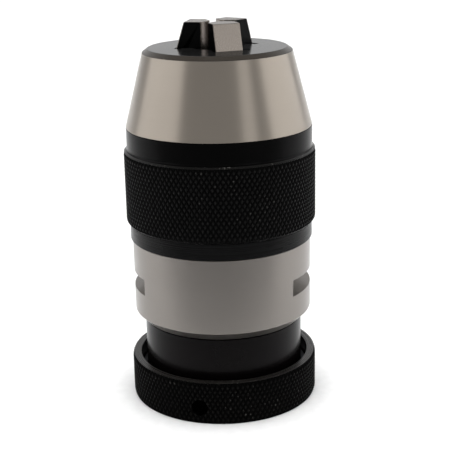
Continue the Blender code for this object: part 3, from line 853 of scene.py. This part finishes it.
def make_jaw_guide():
    """The cone: bright outside, black on its face and in the slots, bare in the cavity."""
    points = [
        (FACE_RADIUS, FACE_HEIGHT),
        (CONE_TOP_RADIUS, CONE_TOP),
        (SMOOTH_RADIUS, CONE_BOTTOM),
        (SPIGOT_RADIUS, CONE_BOTTOM),
        (SPIGOT_RADIUS, GUIDE_BOTTOM),
        (GUIDE_CAVITY_RADIUS, GUIDE_BOTTOM),
        (GUIDE_CAVITY_RADIUS, GUIDE_CAVITY_TOP),
        (GUIDE_BORE_RADIUS, GUIDE_CAVITY_TOP),
        (GUIDE_BORE_RADIUS, FACE_HEIGHT),
    ]
    guide = turned("nose_cone", points,
                   [BRIGHT_STEEL, FACE_BLACK, BORE_STEEL, JAW_BLACK, FACE_RIM])
    cuts = [cut for azimuth in JAW_AZIMUTHS for cut in guide_slot(azimuth_turn(azimuth))]
    combine(guide, cuts)
    finish_surface(guide, FINE_EDGE)
    paint_faces(guide, lambda radius, height: radius < SPIGOT_RADIUS
                and height < CONE_TOP - EDGE, 2)
    paint_faces(guide, lambda radius, height: radius < SPIGOT_RADIUS
                and height > GUIDE_CAVITY_TOP, 3)
    black_from = CONE_TOP - 0.05 * MM
    paint_faces(guide, lambda radius, height: height > black_from, 1)
    paint_faces(guide, lambda radius, height: radius > FACE_RADIUS + 0.05 * MM
                and height > CONE_TOP, 4)
    paint_faces(guide, lambda radius, height: radius > cone_radius(height) - GAP
                and height < black_from, 0)
    stand_for(guide, "jaw_guide")


def cone_radius(height):
    """Outer radius of the cone at one height."""
    share = (height - CONE_BOTTOM) / (CONE_TOP - CONE_BOTTOM)
    return SMOOTH_RADIUS + share * (CONE_TOP_RADIUS - SMOOTH_RADIUS)


def jaw_back(height, outward=0.0):
    """Point of a jaw's sloping back at one height, moved outward by a clearance."""
    return (JAW_BACK_AT_FACE + (FACE_HEIGHT - height) * JAW_SLOPE + outward, height)


def guide_slot(place):
    """The slot for one jaw, and the wider groove behind it for the jaw's wings."""
    low = GUIDE_BOTTOM - CUT_MARGIN
    high = FACE_HEIGHT + CUT_MARGIN
    slot = [(0.0, low), jaw_back(low, SLOT_CLEARANCE), jaw_back(high, SLOT_CLEARANCE),
            (0.0, high)]
    inward = -WING_DEPTH - SLOT_CLEARANCE
    groove = [jaw_back(low, inward), jaw_back(low, SLOT_CLEARANCE),
              jaw_back(high, SLOT_CLEARANCE), jaw_back(high, inward)]
    return [plate("jaw_slot", slot, JAW_WIDTH + 2 * SLOT_CLEARANCE, place),
            plate("wing_groove", groove, WING_WIDTH + 2 * SLOT_CLEARANCE, place)]


# ---------------------------------------------------------------- jaws

def make_jaws():
    for number, azimuth in enumerate(JAW_AZIMUTHS, start=1):
        jaw = make_jaw("jaw_piece_%d" % number, azimuth_turn(azimuth))
        stand_for(jaw, "jaw_%d" % number)


def make_jaw(name, place):
    """A blade with a 120 degree V and a gripping land, two wings, a neck and a foot."""
    side = JAW_WIDTH / 2
    shoulder = LAND_RADIUS + (side - LAND_HALF_WIDTH) / tan(BEVEL_ANGLE)

    def section(height):
        back = jaw_back(height)[0]
        half = [(LAND_HALF_WIDTH, LAND_RADIUS), (side, shoulder), (side, back)]
        loop = half + [(-across, outward) for across, outward in reversed(half)]
        return [(across, -outward, height) for across, outward in loop]

    upright = Matrix.Identity(4)
    jaw = prism(name, section(JAW_BOTTOM), section(JAW_TOP), upright)
    wings = [jaw_back(JAW_BOTTOM, -WING_DEPTH), jaw_back(JAW_BOTTOM),
             jaw_back(WING_TOP), jaw_back(WING_TOP, -WING_DEPTH)]
    joined = [plate("wings", wings, WING_WIDTH, upright)]
    for width, low, high in ((NECK_WIDTH, FOOT_TOP - EDGE, JAW_BOTTOM + EDGE),
                             (FOOT_WIDTH, JAW_FOOT, FOOT_TOP)):
        outline = [(FOOT_INNER_RADIUS, low), (FOOT_OUTER_RADIUS, low),
                   (FOOT_OUTER_RADIUS, high), (FOOT_INNER_RADIUS, high)]
        joined.append(plate("foot", outline, width, upright))
    combine(jaw, joined, "UNION")
    finish_surface(jaw, EDGE)
    jaw.data.materials.clear()
    for material in (JAW_STEEL, JAW_BLACK, JAW_V):
        jaw.data.materials.append(material)
    for face in jaw.data.polygons:
        face.material_index = jaw_slot(face.normal)
    jaw.data.transform(place)
    return jaw


def jaw_slot(normal):
    """Material slot of a face: black flanks, a darker V, and bright back and top."""
    sideways = abs(normal.x)
    if sideways > FLANK_SIDEWAYS:
        return 1
    if sideways > V_SIDEWAYS and normal.y > V_INWARD:
        return 2
    return 0


# ---------------------------------------------------------------- inside

def make_ring(name, node, bore, material):
    """A plain ring on the outer radius and heights of its CAD node."""
    radius, low, high = size_of(node)
    points = [(bore, high), (radius, high), (radius, low), (bore, low)]
    return turned(name, points, [material], FINE_EDGE, INNER_STEPS)


def make_collar_rings():
    """The split ring that keeps the collar on, and the ring that the collar turns against."""
    stop_ring = make_ring("snap_ring", "collar_stop_ring", STOP_RING_BORE_RADIUS, SPRING_STEEL)
    radius, low, high = size_of("collar_stop_ring")
    inner = STOP_RING_BORE_RADIUS - CUT_MARGIN
    outer = radius + CUT_MARGIN
    low -= CUT_MARGIN
    high += CUT_MARGIN
    split = [(inner, low), (outer, low), (outer, high), (inner, high)]
    combine(stop_ring, [plate("ring_split", split, STOP_RING_GAP, azimuth_turn(pi))])
    stand_for(finish_surface(stop_ring, FINE_EDGE), "collar_stop_ring")
    bore = REAR_SLEEVE_RADIUS + GAP
    slip_ring = make_ring("slide_ring", "collar_slip_ring", bore, SPRING_STEEL)
    stand_for(finish_surface(slip_ring), "collar_slip_ring")


def lock_pin_place():
    """Middle of the pin's hole, half in the barrel and half in the flanged nut."""
    middle = BARREL_TOP - LOCK_PIN_LENGTH / 2
    return (azimuth_turn(radians(LOCK_PIN_AZIMUTH))
            @ Matrix.Translation((0.0, -BARREL_RADIUS, middle)))


def lock_pin_hole():
    """Cutter for that hole, open at the top."""
    place = lock_pin_place() @ Matrix.Translation((0.0, 0.0, LOCK_PIN_LENGTH / 4))
    return rod("pin_hole", LOCK_PIN_RADIUS + LOCK_PIN_CLEARANCE, 1.5 * LOCK_PIN_LENGTH, place)


def make_flanged_nut():
    """The nut on the barrel that the sleeve hangs from, and the pin that locks it."""
    radius, low, high = size_of("thrust_collar")
    points = [(radius, high), (radius, FLANGE_BOTTOM), (FLANGED_NUT_RADIUS, FLANGE_BOTTOM),
              (FLANGED_NUT_RADIUS, low), (FLANGED_NUT_BORE_RADIUS, low),
              (FLANGED_NUT_BORE_RADIUS, high)]
    nut = turned("flanged_nut", points, [HARD_STEEL], steps=INNER_STEPS)
    combine(nut, [lock_pin_hole()])
    stand_for(finish_surface(nut, FINE_EDGE), "thrust_collar")
    low, high = (corner.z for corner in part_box("thrust_collar_pin"))
    pin = rod("lock_pin", LOCK_PIN_RADIUS, high - low, Matrix.Identity(4))
    pin.data.transform(lock_pin_place())
    pin.data.materials.append(HARD_STEEL)
    stand_for(finish_surface(pin, EDGE), "thrust_collar_pin")


def make_bearing():
    """The thrust bearing: two washers, a brass cage with its pockets, and the balls."""
    for side in ("lower", "upper"):
        washer = make_ring(side + "_washer", side + "_race", RACE_BORE_RADIUS, HARD_STEEL)
        stand_for(finish_surface(washer), side + "_race")
    bore = 2 * BALL_CIRCLE_RADIUS - size_of("ball_cage")[0]
    cage = make_ring("brass_cage", "ball_cage", bore, BRASS)
    combine(cage, [rod("pocket", POCKET_RADIUS, 4 * BALL_RADIUS, ball_place(number))
                   for number in range(BALL_COUNT)])
    stand_for(finish_surface(cage, CAGE_EDGE), "ball_cage")
    for number in range(BALL_COUNT):
        shape = bmesh.new()
        bmesh.ops.create_uvsphere(shape, u_segments=BALL_SEGMENTS, v_segments=BALL_RINGS,
                                  radius=BALL_RADIUS, matrix=ball_place(number))
        ball = to_object("steel_ball_%02d" % (number + 1), shape, [HARD_STEEL])
        ball.data.shade_smooth()
        stand_for(ball, "bearing_ball_%02d" % (number + 1))


def ball_place(number):
    turn = azimuth_turn(2 * pi * number / BALL_COUNT)
    return turn @ Matrix.Translation((0.0, -BALL_CIRCLE_RADIUS, BALL_HEIGHT))


def make_spindle():
    """A left-hand screw under a head with three T-slots for the feet of the jaws."""
    thread_top = HEAD_BOTTOM - SPINDLE_LEAD / 2
    thread_end = SHANK_BOTTOM + HEAD_EDGE
    points = [
        (0.0, HEAD_TOP),
        (HEAD_RADIUS - HEAD_EDGE, HEAD_TOP),
        (HEAD_RADIUS, HEAD_TOP - HEAD_EDGE),
        (HEAD_RADIUS, HEAD_BOTTOM),
        (SHANK_RADIUS, HEAD_BOTTOM),
        *thread_run(SHANK_RADIUS, thread_top, thread_end, SPINDLE_LEAD),
        (SHANK_RADIUS - HEAD_EDGE, SHANK_BOTTOM),
        (0.0, SHANK_BOTTOM),
    ]
    spindle = turned("screw_spindle", points, [HARD_STEEL], steps=INNER_STEPS)
    cut_thread(spindle, SHANK_RADIUS, thread_end, thread_top, depth=SPINDLE_THREAD_DEPTH,
               pitch=SPINDLE_LEAD, hand=-1)
    cuts = [cut for azimuth in JAW_AZIMUTHS for cut in foot_slot(azimuth_turn(azimuth))]
    combine(spindle, cuts)
    stand_for(finish_surface(spindle, FINE_EDGE), "drive_spindle")


def foot_slot(place):
    """The T-slot for one jaw's foot: a chamber and the narrower neck above it."""
    reach = HEAD_RADIUS + CUT_MARGIN
    high = HEAD_TOP + CUT_MARGIN
    chamber = [(0.0, CHAMBER_BOTTOM), (reach, CHAMBER_BOTTOM), (reach, CHAMBER_TOP),
               (0.0, CHAMBER_TOP)]
    neck = [(0.0, FOOT_TOP), (reach, FOOT_TOP), (reach, high), (0.0, high)]
    return [plate("foot_chamber", chamber, FOOT_WIDTH + 2 * FOOT_CLEARANCE, place),
            plate("neck_slot", neck, NECK_WIDTH + 2 * FOOT_CLEARANCE, place)]


# ---------------------------------------------------------------- studio

def make_floor():
    """A large pale sheet under the chuck."""
    paper = Nodes("paper")
    fibres = paper.ranged(paper.noise(scale=400.0, detail=4.0), 0.0, 1.0)
    paper.colour(paper.mixed(fibres, (0.86, 0.86, 0.86), (0.90, 0.90, 0.90)))
    paper.set(Roughness=0.9, Specular_IOR_Level=0.1)
    shape = bmesh.new()
    bmesh.ops.create_grid(shape, x_segments=8, y_segments=8, size=FLOOR_SIZE)
    floor = to_object("floor", shape, [paper.material])


def area_light(name, place, aim, width, height, power, spread=180.0):
    """A rectangular lamp that shines at a point and isn't seen by the camera."""
    data = bpy.data.lights.new(name, "AREA")
    data.shape = "RECTANGLE"
    data.size = width
    data.size_y = height
    data.energy = power
    data.spread = radians(spread)
    light = bpy.data.objects.new(name, data)
    light.location = place
    direction = Vector(aim) - Vector(place)
    light.rotation_euler = direction.to_track_quat("-Z", "Y").to_euler()
    light.visible_camera = False
    bpy.context.scene.collection.objects.link(light)
    return light


def make_lights():
    """Soft boxes at both sides, a narrow one in front and a wide one far behind, with a low
    panel that whitens the floor. The panel has a narrow beam and shows in no reflection."""
    area_light("left_box", around(LEFT_BOX_AZIMUTH), CHUCK_MIDDLE,
               width=0.75, height=0.36, power=0.85)
    area_light("right_box", around(RIGHT_BOX_AZIMUTH), CHUCK_MIDDLE,
               width=0.70, height=0.36, power=0.85)
    area_light("front_box", around(FRONT_BOX_AZIMUTH), CHUCK_MIDDLE,
               width=0.17, height=0.36, power=0.14)
    area_light("back_box", BACK_BOX_PLACE, BACK_BOX_AIM, width=3.4, height=0.9, power=1.7)
    panel = area_light("floor_panel", FLOOR_PANEL_PLACE, FLOOR_PANEL_AIM,
                       width=4.0, height=3.0, power=34.0, spread=22.0)
    panel.visible_glossy = False
    bpy.context.scene.world = dim_room()
    bpy.context.scene.view_settings.view_transform = "Standard"


def dim_room():
    """An even grey room that is darker overhead."""
    world = bpy.data.worlds.new("studio")
    world.use_nodes = True
    tree = world.node_tree
    split = tree.nodes.new("ShaderNodeSeparateXYZ")
    tree.links.new(tree.nodes.new("ShaderNodeTexCoord").outputs["Generated"], split.inputs[0])
    height = tree.nodes.new("ShaderNodeMapRange")
    tree.links.new(split.outputs["Z"], height.inputs["Value"])
    limits = {"From Min": 0.55, "From Max": 0.85, "To Min": 0.54, "To Max": 0.22}
    for name, value in limits.items():
        height.inputs[name].default_value = value
    tree.links.new(height.outputs[0], tree.nodes["Background"].inputs["Strength"])
    tree.nodes["Background"].inputs["Color"].default_value = (1.0, 1.0, 1.0, 1.0)
    return world


def around(azimuth):
    """Where a soft box stands, at one azimuth round the chuck."""
    angle = radians(azimuth)
    return (BOX_DISTANCE * sin(angle), -BOX_DISTANCE * cos(angle), BOX_HEIGHT)


def make_camera():
    """A camera in front of the chuck, looking a little down on it."""
    data = bpy.data.cameras.new("camera")
    data.lens = CAMERA_LENS
    data.clip_start = CAMERA_CLIP_START
    camera = bpy.data.objects.new("camera", data)
    turn = (Matrix.Rotation(-CAMERA_YAW, 4, "Z")
            @ Matrix.Rotation(pi / 2 - CAMERA_TILT, 4, "X")
            @ Matrix.Rotation(-CAMERA_ROLL, 4, "Z"))
    place = Matrix.Translation((0.0, -CAMERA_DISTANCE, CAMERA_HEIGHT))
    camera.matrix_world = place @ turn
    bpy.context.scene.collection.objects.link(camera)
    bpy.context.scene.camera = camera


make_camera()
make_floor()
make_lights()
make_chuck_body()
make_rear_sleeve()
make_collar()
make_ring_nut()
make_knurled_sleeve()
make_jaw_guide()
make_jaws()
make_collar_rings()
make_flanged_nut()
make_bearing()
make_spindle()
